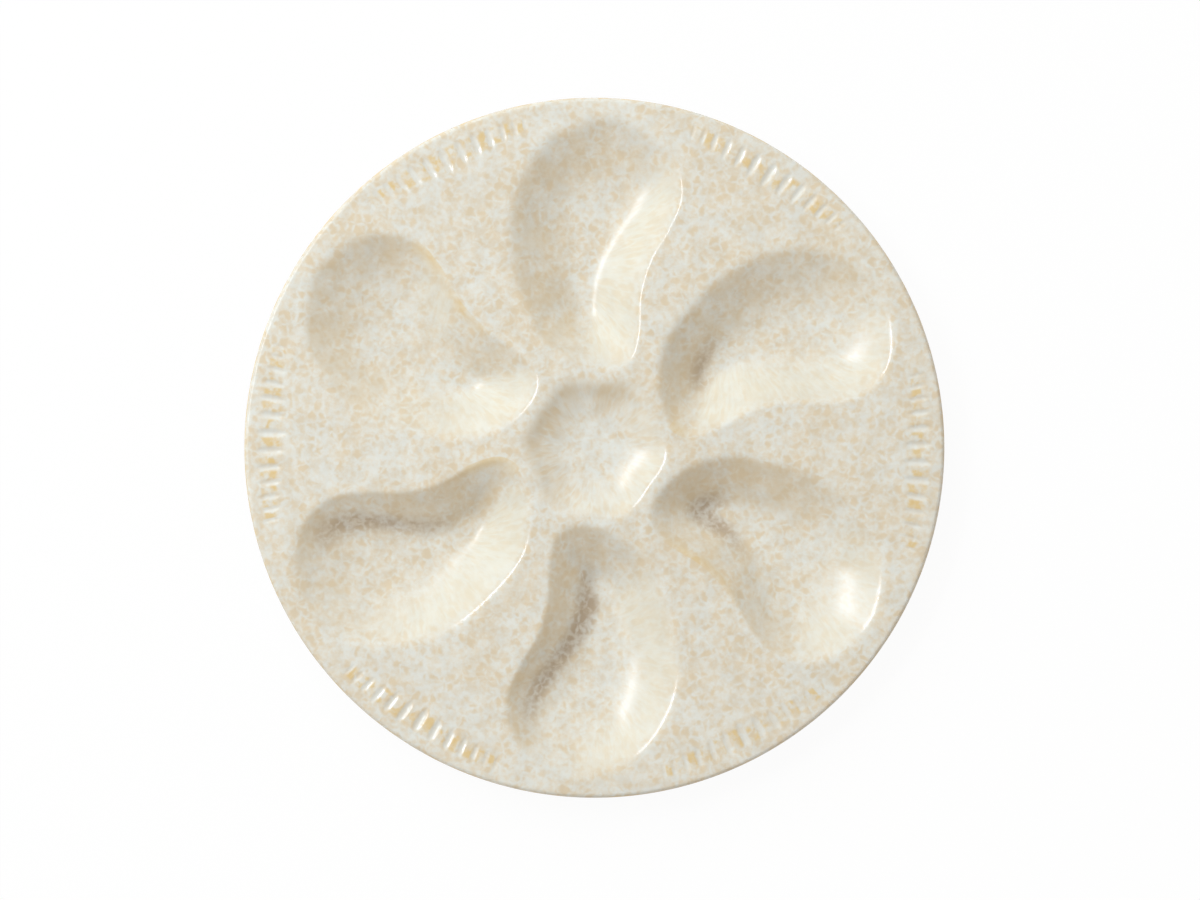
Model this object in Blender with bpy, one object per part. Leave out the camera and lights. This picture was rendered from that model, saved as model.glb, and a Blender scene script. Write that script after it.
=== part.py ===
"""Round stoneware oyster platter: six shell-shaped wells round a sauce well.

A pressed clay body stands on a foot ring and wears three coats of glaze. All five pieces come from
one envelope, the outside of the finished platter, given by a height over each point of the plan.
A coat of glaze is a thin shell under the envelope. The clay body is the envelope drawn in by a
coat and a gap. The foot ring fills the strip of the back that no coat covers, down to the table.

Lengths are in metres and angles in degrees. +Z is up, and the table is the plane z = 0.
"""

import math

import bmesh
import bpy
import numpy as np
from mathutils import Vector
from mathutils.bvhtree import BVHTree
from mathutils.geometry import delaunay_2d_cdt

# Rim and walls
PLATE_RADIUS = 0.125
EDGE_WIDTH = 0.0016
EDGE_DROP = 0.0016
CLAY_WALL = 0.0042
GLAZE = 0.0006
GAP = 0.0003
TABLE_CLEARANCE = 0.0030

# Low crest, and the sauce well inside it, whose lip yields to the oyster wells in a wave
CREST_RADIUS = 0.0266
CREST_RISE = 0.0018
CREST_SPREAD = 0.0210
SAUCE_DEPTH = 0.0055
SAUCE_FLOOR_RADIUS = 0.0050
SAUCE_WAVE = 0.0011
SAUCE_WAVE_ANGLE = 85
SAUCE_LIP_EASE = 0.15
SAUCE_FOOT_EASE = 0.85

# Oyster wells, the first of them towards +Y
WELL_COUNT = 6
WELL_DEPTH = 0.0095
WELL_WIDTH = 0.0654
WELL_FLOOR_RISE = 0.0009
WELL_RIM_BAND = 0.0050
WELL_START = 0.0261
FLOOR_LOWEST = 0.22
FLOOR_HIGHEST = 0.65

# Ribs round a well, from its lip to the foot of its wall: where both lie, as shares of the well's
# length and width, the shares of the wall over which its slope sets in at the lip and eases off at
# the foot, and by how much the slope grows on the way down
WELL_RIBS = (
    (1.00, 0.05, 0.60, 0.01, 0.14, 0.74, 0.0),
    (0.95, 0.29, 0.60, 0.04, 0.13, 0.74, 0.0),
    (0.84, 0.45, 0.59, 0.05, 0.12, 0.80, -0.1),
    (0.70, 0.50, 0.56, 0.04, 0.12, 0.66, 0.0),
    (0.57, 0.44, 0.50, 0.01, 0.13, 0.54, 0.1),
    (0.44, 0.33, 0.43, -0.02, 0.15, 0.44, 0.2),
    (0.30, 0.27, 0.36, -0.04, 0.17, 0.38, 0.3),
    (0.15, 0.26, 0.31, -0.04, 0.17, 0.34, 0.5),
    (0.04, 0.21, 0.29, -0.04, 0.14, 0.38, 0.4),
    (0.00, 0.07, 0.28, -0.05, 0.13, 0.42, 0.2),
    (0.04, -0.14, 0.29, -0.07, 0.14, 0.38, 0.2),
    (0.15, -0.33, 0.34, -0.08, 0.15, 0.38, 0.1),
    (0.34, -0.45, 0.43, -0.08, 0.16, 0.42, 0.0),
    (0.54, -0.50, 0.53, -0.07, 0.16, 0.56, 0.0),
    (0.73, -0.45, 0.59, -0.05, 0.16, 0.58, 0.0),
    (0.92, -0.26, 0.61, -0.02, 0.15, 0.66, 0.0),
)

# Flutes pressed into the rim between the wells, with their ends as shares of their length
FLUTES_PER_SIDE = 6
FLUTE_GROUP_ANGLE = -32.6
FLUTE_PITCH = 3.27
FLUTE_CLOSING = 0.12
FLUTE_FILL = 0.92
FLUTE_DEPTH = 0.0010
FLUTE_FADING = 0.07
FLUTE_RIM_MARGIN = 0.0034
FLUTE_LENGTH = 0.0128
FLUTE_SHORTENING = 0.0009
FLUTE_INNER_END = 0.40
FLUTE_OUTER_END = 0.35

# Foot ring
FOOT_RADIUS = 0.0660
FOOT_TOP_WIDTH = 0.0070
FOOT_FACE_WIDTH = 0.0044
FOOT_CHAMFER = 0.0008

# Mesh
RIM_SEGMENTS = 96
BACK_EDGE_SEGMENTS = 48
SAUCE_SEGMENTS = 36
LIP_STEPS = 3
WALL_STEPS = 2
BACK_STEPS = 1
WALL_SHARES = (0.12, 0.34, 0.58, 0.80, 1.0)
BACK_SHARES = (0.0, 0.35, 0.70, 1.0)
DECK_SHARES = (0.08, 0.25, 0.45, 0.65)
EDGE_LEANS = (0.0, 0.71, 1.0)
FINE_RIB_STEPS = 12
FINE_FALL_STEPS = 60
PLUMB_START = 2.0
MERGE_DISTANCE = 1e-7
SHARP_ANGLE = 50

# Looks
CLAY_COLOUR = (0.52, 0.40, 0.29)
FOOT_COLOUR = (0.58, 0.46, 0.34)
FACE_COLOUR = (0.71, 0.64, 0.51)
BACK_COLOUR = (0.74, 0.68, 0.57)
CLAY_ROUGHNESS = 0.80
GLAZE_ROUGHNESS = 0.25

# Sizes that follow from those above
TOTAL_WALL = CLAY_WALL + 2 * (GLAZE + GAP)
DECK_HEIGHT = TABLE_CLEARANCE + TOTAL_WALL + WELL_DEPTH
WELL_LENGTH = PLATE_RADIUS - WELL_RIM_BAND - WELL_START
FLUTE_OUTER = PLATE_RADIUS - FLUTE_RIM_MARGIN
FOOT_INNER = FOOT_RADIUS - FOOT_TOP_WIDTH / 2
FOOT_OUTER = FOOT_RADIUS + FOOT_TOP_WIDTH / 2
WELL_TURNS = [360 / WELL_COUNT * k for k in range(WELL_COUNT)]


def turned(plan, angle):
    """Plan points turned anticlockwise about the centre."""
    c = math.cos(math.radians(angle))
    s = math.sin(math.radians(angle))
    return np.asarray(plan) @ np.array(((c, s), (-s, c)))


def circle(radius, count):
    """Points evenly spaced on a circle, the first of them on +X."""
    angles = np.arange(count) * 2 * math.pi / count
    return radius * np.column_stack((np.cos(angles), np.sin(angles)))


def well_plan(along, across):
    """Plan points of the first well from shares of its length and width."""
    return np.column_stack((across * WELL_WIDTH, WELL_START + along * WELL_LENGTH))


def ribs(steps):
    """Smooth run of ribs round the first well, with steps ribs to a span of the table."""
    table = np.array(WELL_RIBS)
    before, after, beyond = (np.roll(table, shift, axis=0) for shift in (1, -1, -2))
    spans = []
    for t in np.arange(steps) / steps:
        spans.append(
            table
            + t / 2 * (after - before)
            + t ** 2 / 2 * (2 * before - 5 * table + 4 * after - beyond)
            + t ** 3 / 2 * (3 * table - before - 3 * after + beyond)
        )
    return np.stack(spans, axis=1).reshape(-1, table.shape[1])


def wall_ring(steps, share):
    """Ring of plan points round the first well at a share of its wall, from lip to foot."""
    lip_along, lip_across, foot_along, foot_across = ribs(steps).T[:4]
    return (1 - share) * well_plan(lip_along, lip_across) + share * well_plan(foot_along, foot_across)


def wall_falls(lip_ease, foot_ease, growth):
    """Fall from 0 at the lip to 1 at the foot, for each rib, at even shares of its width."""
    t = np.linspace(0, 1, FINE_FALL_STEPS + 1)[:, None]
    slope = np.clip(t / lip_ease, 0, 1) * np.clip((1 - t) / foot_ease, 0, 1) * (1 + growth * (t - 0.5))
    falls = np.cumsum((slope[1:] + slope[:-1]) / 2, axis=0)
    return np.vstack((np.zeros_like(falls[:1]), falls / falls[-1]))


def well_sheet():
    """Fine sheet over the first well, whose height is the share of the way down into it."""
    falls = wall_falls(*ribs(FINE_RIB_STEPS).T[4:])
    rows, columns = falls.shape
    points = []
    for row, fall in enumerate(falls):
        ring = wall_ring(FINE_RIB_STEPS, row / FINE_FALL_STEPS)
        points += np.column_stack((ring, fall)).tolist()
    faces = [range((rows - 1) * columns, rows * columns)]
    for row in range(rows - 1):
        for k in range(columns):
            a = row * columns + k
            b = row * columns + (k + 1) % columns
            faces.append((a, b, b + columns, a + columns))
    return BVHTree.FromPolygons(points, [tuple(face) for face in faces])


WELL = well_sheet()
SAUCE_FALLS = wall_falls(SAUCE_LIP_EASE, SAUCE_FOOT_EASE, 0)[:, 0]


def well_fall(plan):
    """Share of the way down into the first well: 0 outside its lip, 1 on its floor."""
    hits = [WELL.ray_cast(Vector((x, y, PLUMB_START)), Vector((0, 0, -1)))[0] for x, y in plan]
    return np.array([hit.z if hit else 0 for hit in hits])


def well_floor_height(plan):
    """Height of the first well's floor, which rises a little towards the rim."""
    along = (plan[:, 1] - WELL_START) / WELL_LENGTH
    share = np.clip((along - FLOOR_LOWEST) / (FLOOR_HIGHEST - FLOOR_LOWEST), 0, 1)
    return DECK_HEIGHT - WELL_DEPTH + WELL_FLOOR_RISE * share


def sauce_lip(plan):
    """Radius of the sauce well's lip in the direction of each plan point."""
    angle = np.arctan2(plan[:, 1], plan[:, 0]) - math.radians(SAUCE_WAVE_ANGLE)
    return CREST_RADIUS - SAUCE_WAVE * np.cos(WELL_COUNT * angle)


def sauce_ring(share):
    """Ring of plan points round the sauce well at a share of its wall, from lip to floor."""
    ring = circle(1, SAUCE_SEGMENTS)
    lip = sauce_lip(ring)[:, None]
    return ring * (lip + share * (SAUCE_FLOOR_RADIUS - lip))


def sauce_fall(plan):
    """Share of the way down into the sauce well: 0 outside its lip, 1 on its floor."""
    lip = sauce_lip(plan)
    share = (lip - np.linalg.norm(plan, axis=1)) / (lip - SAUCE_FLOOR_RADIUS)
    return np.interp(share, np.linspace(0, 1, FINE_FALL_STEPS + 1), SAUCE_FALLS)


def flutes():
    """Turn, half width, inner radius and depth of every flute, the middle one of a group the longest."""
    rows = []
    for well_turn in WELL_TURNS:
        for step in range(-FLUTES_PER_SIDE, FLUTES_PER_SIDE + 1):
            offset = FLUTE_PITCH * step - FLUTE_CLOSING * step * abs(step)
            pitch = FLUTE_PITCH - 2 * FLUTE_CLOSING * abs(step)
            half = FLUTE_FILL * math.radians(pitch) * FLUTE_OUTER / 2
            inner = FLUTE_OUTER - FLUTE_LENGTH + FLUTE_SHORTENING * abs(step)
            depth = FLUTE_DEPTH * (1 - FLUTE_FADING * abs(step))
            rows.append((well_turn + FLUTE_GROUP_ANGLE + offset, half, inner, depth))
    return rows


def flute_keel(inner):
    """Radii between which a flute has its full depth."""
    length = FLUTE_OUTER - inner
    return inner + FLUTE_INNER_END * length, FLUTE_OUTER - FLUTE_OUTER_END * length


def flute_depth(plan):
    """Depth of the flutes below the deck."""
    depth = np.zeros(len(plan))
    for turn, half, inner, full_depth in flutes():
        keel_inner, keel_outer = flute_keel(inner)
        across, along = turned(plan, -turn).T
        middle = np.clip(1 - (across / half) ** 2, 0, 1)
        inner_end = np.clip((along - inner) / (keel_inner - inner), 0, 1)
        outer_end = np.clip((FLUTE_OUTER - along) / (FLUTE_OUTER - keel_outer), 0, 1)
        depth = np.maximum(depth, full_depth * middle * np.minimum(inner_end, outer_end))
    return depth


def plain_height(plan):
    """Height of the face without its flutes and before its edge is rounded."""
    outside = np.maximum(np.linalg.norm(plan, axis=1), sauce_lip(plan)) - CREST_RADIUS
    height = DECK_HEIGHT + CREST_RISE / (1 + (outside / CREST_SPREAD) ** 2)
    for turn in WELL_TURNS:
        local = turned(plan, -turn)
        height += well_fall(local) * (well_floor_height(local) - height)
    return height - SAUCE_DEPTH * sauce_fall(plan)


def edge_lean(plan):
    """How far the rim's rounding has turned from level, 0, to upright, 1."""
    radius = np.linalg.norm(plan, axis=1)
    return np.clip((radius - PLATE_RADIUS + EDGE_WIDTH) / EDGE_WIDTH, 0, 1)


def sunk(plan, height, depth, up):
    """Points at a depth inside the envelope, reached straight down, or from the rim's edge inwards."""
    lean = edge_lean(plan)
    level = np.sqrt(1 - lean ** 2)
    outward = plan / np.maximum(np.linalg.norm(plan, axis=1), MERGE_DISTANCE)[:, None]
    inset = plan - depth * lean[:, None] * outward
    return np.column_stack((inset, height - up * depth * level))


def face_points(plan, depth):
    """Points of the face at a depth below the finished surface."""
    fall = 1 - np.sqrt(1 - edge_lean(plan) ** 2)
    height = plain_height(plan) - flute_depth(plan) - EDGE_DROP * fall
    return sunk(plan, height, depth, 1)


def back_points(plan, depth):
    """Points of the back at a depth above the finished surface."""
    rise = 1 - np.sqrt(1 - edge_lean(plan) ** 2)
    height = plain_height(plan) - TOTAL_WALL + (TOTAL_WALL - EDGE_DROP - GAP) * rise
    return sunk(plan, height, depth, -1)


class Plan:
    """Plan points, and the loops among them whose edges the mesh has to keep."""

    def __init__(self):
        self.points = []
        self.edges = []

    def add(self, points, closed=False):
        """Add points, and the edges of the loop they make if it is closed."""
        start = len(self.points)
        count = len(points)
        if closed:
            self.edges += [(start + k, start + (k + 1) % count) for k in range(count)]
        self.points += [tuple(point) for point in points]

    def triangles(self):
        """Plan points and triangles of the filled plan, as seen from above."""
        points, _, faces, *_ = delaunay_2d_cdt(self.points, self.edges, [], 0, MERGE_DISTANCE)
        return np.array([tuple(point) for point in points]), faces


def edge_radii():
    """Rings of the rim's rounding, from where it sets in to the outermost edge."""
    return [PLATE_RADIUS - EDGE_WIDTH * (1 - lean) for lean in EDGE_LEANS]


def flute_outline(turn, half, inner):
    """Corners of one flute, and the ends of its deepest line."""
    low, high = flute_keel(inner)
    outline = ((0, inner), (half, low), (half, high), (0, FLUTE_OUTER), (-half, high), (-half, low))
    return turned(outline, turn), turned(((0, low), (0, high)), turn)


def deck_points(turn):
    """Points along the deck midway between two wells, closer together towards the crest."""
    reach = FLUTE_OUTER - FLUTE_LENGTH - CREST_RADIUS
    radii = [CREST_RADIUS + reach * share for share in DECK_SHARES]
    return turned([(0, radius) for radius in radii], turn + 180 / WELL_COUNT)


def face_plan():
    """Plan of the face: rings round the rim and both kinds of well, and the flutes."""
    plan = Plan()
    for radius in edge_radii():
        plan.add(circle(radius, RIM_SEGMENTS), closed=True)
    for share in (0, *WALL_SHARES):
        plan.add(sauce_ring(share), closed=True)
    plan.add(((0, 0),))
    for turn in WELL_TURNS:
        plan.add(turned(wall_ring(LIP_STEPS, 0), turn), closed=True)
        for share in WALL_SHARES:
            plan.add(turned(wall_ring(WALL_STEPS, share), turn), closed=True)
        plan.add(deck_points(turn))
    for turn, half, inner, _ in flutes():
        outline, keel = flute_outline(turn, half, inner)
        plan.add(outline, closed=True)
        plan.add(keel)
    return plan


def foot_radii():
    """Edges of the coat inside the foot ring, of the ring itself, and of the coat outside it."""
    return FOOT_INNER - GAP, FOOT_INNER, FOOT_OUTER, FOOT_OUTER + GAP


def clear_of_foot(points):
    """The points that lie well clear of the foot ring."""
    radius = np.linalg.norm(points, axis=1)
    return points[abs(radius - FOOT_RADIUS) > FOOT_TOP_WIDTH]


def back_plan():
    """Plan of the back: rings round the rim and the foot ring, and points over the wells."""
    plan = Plan()
    plan.add(circle(PLATE_RADIUS, RIM_SEGMENTS), closed=True)
    for radius in edge_radii()[:-1]:
        plan.add(circle(radius, BACK_EDGE_SEGMENTS), closed=True)
    for radius in foot_radii():
        plan.add(circle(radius, RIM_SEGMENTS), closed=True)
    for share in BACK_SHARES:
        plan.add(sauce_ring(share), closed=True)
    for turn in WELL_TURNS:
        for share in BACK_SHARES:
            plan.add(clear_of_foot(turned(wall_ring(BACK_STEPS, share), turn)))
        plan.add(clear_of_foot(deck_points(turn)))
    return plan


def add_sheet(bm, points, faces, flip):
    """Add a sheet of triangles to a mesh, turned over if flip is set."""
    verts = [bm.verts.new(point) for point in points]
    for face in faces:
        corners = [verts[k] for k in face]
        bm.faces.new(reversed(corners) if flip else corners)


def border(faces):
    """Edges that only one triangle has, in that triangle's direction."""
    edges = {(a, b) for face in faces for a, b in zip(face, (*face[1:], face[0]))}
    return sorted((a, b) for a, b in edges if (b, a) not in edges)


def between(plan, faces, low, high):
    """The triangles of a plan that lie between two radii, with their own plan points."""
    radius = np.linalg.norm(plan, axis=1)
    allowed = (radius > low - GAP / 2) & (radius < high + GAP / 2)
    kept = [face for face in faces if all(allowed[k] for k in face)]
    used = sorted({k for face in kept for k in face})
    number = {old: new for new, old in enumerate(used)}
    return plan[used], [[number[k] for k in face] for face in kept]


def coat_mesh(name, plan, faces, place, flip):
    """Shell of glaze between the finished surface and the clay's side of the coat."""
    bm = bmesh.new()
    add_sheet(bm, place(plan, 0), faces, flip)
    add_sheet(bm, place(plan, GLAZE), faces, not flip)
    bm.verts.ensure_lookup_table()
    count = len(plan)
    for a, b in border(faces):
        wall = [bm.verts[k] for k in (b, a, a + count, b + count)]
        bm.faces.new(reversed(wall) if flip else wall)
    return finished_mesh(bm, name)


def body_mesh(name, face_sheet, back_sheet):
    """Clay between the two sheets, each drawn in by a coat and a gap, joined round the rim."""
    bm = bmesh.new()
    depth = GLAZE + GAP
    add_sheet(bm, face_points(face_sheet[0], depth), face_sheet[1], False)
    add_sheet(bm, back_points(back_sheet[0], depth), back_sheet[1], True)
    rim = [edge for edge in bm.edges if edge.is_boundary]
    bmesh.ops.bridge_loops(bm, edges=rim)
    return finished_mesh(bm, name)


def foot_mesh(name, plan, faces):
    """Ring whose top follows the clay, with tapered sides and a flat face on the table."""
    bm = bmesh.new()
    add_sheet(bm, back_points(plan, GLAZE), faces, False)
    top = list(bm.faces)
    chamfer_top = lowered(bm, top, FOOT_CHAMFER, FOOT_FACE_WIDTH / 2 + FOOT_CHAMFER)
    lowered(bm, chamfer_top, 0, FOOT_FACE_WIDTH / 2)
    bmesh.ops.delete(bm, geom=chamfer_top, context="FACES_ONLY")
    return finished_mesh(bm, name)


def lowered(bm, sheet, height, half_width):
    """Extrude a strip of the foot ring down to a level height and a new width."""
    made = bmesh.ops.extrude_face_region(bm, geom=sheet)["geom"]
    strip = [part for part in made if isinstance(part, bmesh.types.BMFace)]
    for vert in {vert for face in strip for vert in face.verts}:
        side = math.copysign(half_width, vert.co.xy.length - FOOT_RADIUS)
        vert.co.xy = vert.co.xy.normalized() * (FOOT_RADIUS + side)
        vert.co.z = height
    return strip


def finished_mesh(bm, name):
    """Mesh datablock with its faces outwards, smooth but for its sharp edges."""
    bmesh.ops.recalc_face_normals(bm, faces=bm.faces)
    mesh = bpy.data.meshes.new(name)
    bm.to_mesh(mesh)
    bm.free()
    mesh.shade_smooth()
    mesh.set_sharp_from_angle(angle=math.radians(SHARP_ANGLE))
    return mesh


def pottery(name, colour, roughness):
    """Plain material of a clay or a glaze."""
    material = bpy.data.materials.new(name)
    material.use_nodes = True
    shader = material.node_tree.nodes["Principled BSDF"]
    shader.inputs["Base Color"].default_value = (*colour, 1)
    shader.inputs["Roughness"].default_value = roughness
    shader.inputs["Metallic"].default_value = 0
    return material


def place_piece(mesh, material):
    """Object for a mesh, under the mesh's own name."""
    mesh.materials.append(material)
    piece = bpy.data.objects.new(mesh.name, mesh)
    bpy.context.scene.collection.objects.link(piece)


def main():
    for old in list(bpy.data.objects):
        bpy.data.objects.remove(old, do_unlink=True)

    clay = pottery("fired_clay", CLAY_COLOUR, CLAY_ROUGHNESS)
    foot = pottery("bare_foot_clay", FOOT_COLOUR, CLAY_ROUGHNESS)
    mottled = pottery("mottled_face_glaze", FACE_COLOUR, GLAZE_ROUGHNESS)
    plain = pottery("plain_back_glaze", BACK_COLOUR, GLAZE_ROUGHNESS)

    face_sheet = face_plan().triangles()
    back_sheet = back_plan().triangles()
    seat = between(*back_sheet, FOOT_INNER, FOOT_OUTER)
    inner_coat = between(*back_sheet, 0, FOOT_INNER - GAP)
    outer_coat = between(*back_sheet, FOOT_OUTER + GAP, PLATE_RADIUS)

    place_piece(body_mesh("clay_body", face_sheet, back_sheet), clay)
    place_piece(foot_mesh("foot_ring", *seat), foot)
    place_piece(coat_mesh("face_glaze", *face_sheet, face_points, False), mottled)
    place_piece(coat_mesh("back_glaze_outer", *outer_coat, back_points, True), plain)
    place_piece(coat_mesh("back_glaze_inner", *inner_coat, back_points, True), plain.copy())


main()
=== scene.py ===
"""Glazed stoneware oyster platter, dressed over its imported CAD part.

The face is laid out flat, as a plan: six oyster wells, a sauce well, fluted bands and a rim, with the
deck filled in between them. The plan is then pressed into its relief and closed underneath, as a coat
of glaze. The coats on the back follow the face, the clay lies between the coats, and the foot ring is
turned.

Lengths are in metres. +Z is up, and the table is the plane z = 0.
"""

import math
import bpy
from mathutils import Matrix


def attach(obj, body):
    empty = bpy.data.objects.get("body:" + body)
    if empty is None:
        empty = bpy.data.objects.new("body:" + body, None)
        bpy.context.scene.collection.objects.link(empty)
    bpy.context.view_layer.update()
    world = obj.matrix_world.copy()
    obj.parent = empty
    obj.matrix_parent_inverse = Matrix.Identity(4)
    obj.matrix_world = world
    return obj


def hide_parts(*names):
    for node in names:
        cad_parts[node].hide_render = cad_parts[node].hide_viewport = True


bl_info = {
    "name": "Oyster Platter",
    "version": (1, 0, 0),
    "blender": (4, 5, 0),
    "location": "View3D > Sidebar > Platter",
    "description": "Models and glazes a stoneware oyster platter over its CAD part",
    "category": "Object",
}

import bmesh
import bpy
import numpy as np
from bpy.props import FloatProperty, FloatVectorProperty, PointerProperty
from mathutils import Vector
from mathutils.bvhtree import BVHTree

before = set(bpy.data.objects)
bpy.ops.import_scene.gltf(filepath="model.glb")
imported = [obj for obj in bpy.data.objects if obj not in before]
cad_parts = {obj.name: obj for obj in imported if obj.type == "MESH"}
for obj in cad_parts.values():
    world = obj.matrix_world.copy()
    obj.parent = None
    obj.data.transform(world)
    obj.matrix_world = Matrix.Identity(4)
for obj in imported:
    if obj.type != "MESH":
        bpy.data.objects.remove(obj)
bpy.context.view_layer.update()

BODY = "root"
MERGE_DISTANCE = 1e-6
NEAR = 1e-4

# Ribs round a well, from its lip to the foot of its wall: where both lie, as shares of the well's length
# and width, the shares of the wall over which its slope sets in at the lip and eases off at the foot, by
# how much the slope grows on the way down, and the weight of the brown painted shade at the foot
WELL_COUNT = 6
WELL_RIBS = (
    (1.00, 0.05, 0.60, 0.01, 0.13, 0.74, 0.0, 0.0),
    (0.95, 0.29, 0.60, 0.04, 0.12, 0.74, -0.3, 0.2),
    (0.84, 0.45, 0.59, 0.05, 0.09, 0.80, -0.7, 0.55),
    (0.70, 0.50, 0.56, 0.04, 0.08, 0.66, -0.4, 0.85),
    (0.57, 0.44, 0.50, 0.01, 0.09, 0.54, 0.1, 0.9),
    (0.44, 0.33, 0.43, -0.02, 0.09, 0.44, 0.2, 0.95),
    (0.30, 0.27, 0.36, -0.04, 0.09, 0.38, 0.3, 1.0),
    (0.15, 0.26, 0.31, -0.04, 0.09, 0.34, 0.5, 1.0),
    (0.04, 0.21, 0.29, -0.04, 0.10, 0.38, 0.4, 0.9),
    (0.00, 0.07, 0.28, -0.05, 0.12, 0.42, 0.2, 0.8),
    (0.04, -0.14, 0.29, -0.07, 0.14, 0.38, 0.2, 0.7),
    (0.15, -0.33, 0.34, -0.08, 0.15, 0.38, 0.1, 0.5),
    (0.34, -0.45, 0.43, -0.08, 0.16, 0.42, 0.0, 0.2),
    (0.54, -0.50, 0.53, -0.07, 0.16, 0.56, 0.0, 0.0),
    (0.73, -0.45, 0.59, -0.05, 0.16, 0.58, 0.0, 0.0),
    (0.92, -0.26, 0.61, -0.02, 0.15, 0.66, 0.0, 0.0),
)

# Shares of a well's length between which its floor rises
FLOOR_LOWEST = 0.22
FLOOR_HIGHEST = 0.65

# Azimuth in degrees of a place where the sauce well's lip yields to an oyster well
SAUCE_WAVE_ANGLE = 85

# Flutes of a group, on both sides of its middle one: angles in degrees, the shares of a flute's length
# over which its ends run out, how much the depth fades towards the ends of a group, and the share of its
# pitch that a flute fills
FLUTES_PER_SIDE = 6
FLUTE_GROUP_ANGLE = -32.6
FLUTE_PITCH = 3.27
FLUTE_CLOSING = 0.12
FLUTE_INNER_END = 0.40
FLUTE_OUTER_END = 0.35
FLUTE_FADING = 0.78
FLUTE_FILL = 0.66

# Rings of the plan: shares of a wall from lip to floor, and leans of the rim's rounding
WALL_RINGS = (
    0, 0.02, 0.04, 0.06, 0.08, 0.10, 0.12, 0.15, 0.20, 0.26, 0.33,
    0.40, 0.47, 0.54, 0.61, 0.68, 0.75, 0.82, 0.88, 0.94, 1,
)
EDGE_LEANS = (0, 0.26, 0.5, 0.71, 0.87, 0.97, 1)

# Radius of the round sheet that a well is laid out from: its rings lie inside it by their shares
SHEET_RADIUS = 2

# Fineness of the meshes
RIB_STEPS = 16
FALL_STEPS = 200
FLUTE_COLUMNS = 14
FLUTE_ROWS = 18
SAUCE_SEGMENTS = 180
SAUCE_RINGS = 26
RIM_SEGMENTS = 360
BACK_STEP = 0.0020
UNDER_STEP = 0.0030
DECK_STEP = 0.0024
REFINE_ROUNDS = 9
BEVEL_SEGMENTS = 4
SMOOTH_ANGLE = 50

# Share of its length that a wall has in the pattern, which draws spots out into streaks, and the shift
# of the pattern from one well to the next
STREAK_STRETCH = 0.55
STREAK_SHIFT = 0.1

# Side of the platter that the lamps light, as an azimuth in degrees: walls that look that way get
# painted light in plain cream, and those that look away from it get painted shade in warm tan
LAMPLIGHT_SIDE = 145

# Lips where the glaze breaks to amber: how much their walls look towards the lamps, as a cosine, how far
# off that may be, and the least weight of brown painted shade on such a wall's ribs
BREAK_SIDE = -0.2
BREAK_SPREAD = 0.5
BREAK_SHADE_POOL = 0.82

# Side of the platter that the lamps light, as an azimuth in degrees: brown painted shade lies on the
# walls that look away from it, in a strip near the line where their slope eases off. The strip's middle
# lies past that line, and it reaches to both sides of its middle, by shares of the wall's width
SHADE_POOL_LAMP_SIDE = 170
SHADE_POOL_PLACE = 0.11
SHADE_POOL_REACH = 0.32

# Scales of the glaze's patterns, in features to a metre, and how far its spots are stirred
SPOT_SCALE = 300
STIR_SCALE = 210
STIR_REACH = 0.0042
GRAIN_SCALE = 500
DRIFT_SCALE = 75
PAINTED_LIGHT_SCALE = 90
PAINTED_SHADE_SCALE = 120
SHADE_SCALE = 190
LIP_SCALE = 110
THIN_SCALE = 260

# Bands of the mottling: the values between which an effect sets in, and then its amounts at both, which
# are 0 and 1 where they aren't given
SPOT_BORDER = (-0.04, 0.44)
SPOT_CHANCE = (0.0, 1.0, 0.15, 1.25)
HOLLOW_MIDDLE = (0.36, 0.08)
HOLLOW_CHANCE = (0.4, 0.9, 0.0, 0.40)
GRAIN_LEVEL = (0.25, 0.75, -0.42, 0.42)
DRIFT_LEVEL = (0.3, 0.7, 0.22, -0.22)

# Bands of the face's ground, and amounts of cream, streaks and tan: the cream on walls that face the
# lamps is painted light, and the tan on steep walls that face away from them is painted shade
PAINTED_LIGHT_FACING = (0.05, 0.45)
PAINTED_LIGHT_DOWN = (-0.05, 0.30)
PAINTED_LIGHT_CLOUDS = (0.3, 0.7, 0.65, 1.0)
PAINTED_LIGHT_CREAM = 0.50
WALL_SLOPE = (0.12, 0.50)
WALL_STREAKS = 0.15
PAINTED_SHADE_FACING = (0.25, -0.15)
PAINTED_SHADE_PATCHES = (0.38, 0.64, 0.02, 0.42)
PAINTED_SHADE_TAN = 0.06
SAUCE_WALL_TOP = (0.0, 0.15)
SAUCE_WALL_FOOT = (0.85, 0.45, 0.0, 0.8)
SAUCE_FLOOR_PALE = (0.35, 0.80, 0.0, 0.28)
STREAK_LEVEL = (-0.7, 1.2, -0.40, 0.85)
TAN_LEVEL = (-0.70, 1.10)
SHADE_LEVEL = (0.3, 0.7, 0.965, 1.035)

# Bands of the glaze that breaks over lips and edges and thickens in flutes, and of the brown painted
# shade near the foot of walls
LIP_START = (0.0, 0.02)
LIP_END = (0.22, 0.06)
LIP_BROKEN = (0.0, 0.6)
LIP_CLOUDS = (0.35, 0.65, 0.15, 0.50)
SHADE_POOL_DEPTH = (0.10, 0.75)
SHADE_POOL_SPOTS = (-0.3, 0.7, 0.30, 0.65)
FLUTE_PALE = (0.10, 0.60, 0.0, 0.55)
FLUTE_SHARP = (0.02, 0.20)
RIDGE_THIN = (0.2, 0.9)
EDGE_THIN = (0.6, 0.95)
THIN_CLOUDS = (0.43, 0.62, 0.05, 0.75)

# Plainer glaze of the back
BACK_STIR_SCALE = 220
BACK_STIR_REACH = 0.0050
BACK_SPOT_SCALE = 200
BACK_SPOTS = (0.6, 0.2, 0.0, 0.5)

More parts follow.
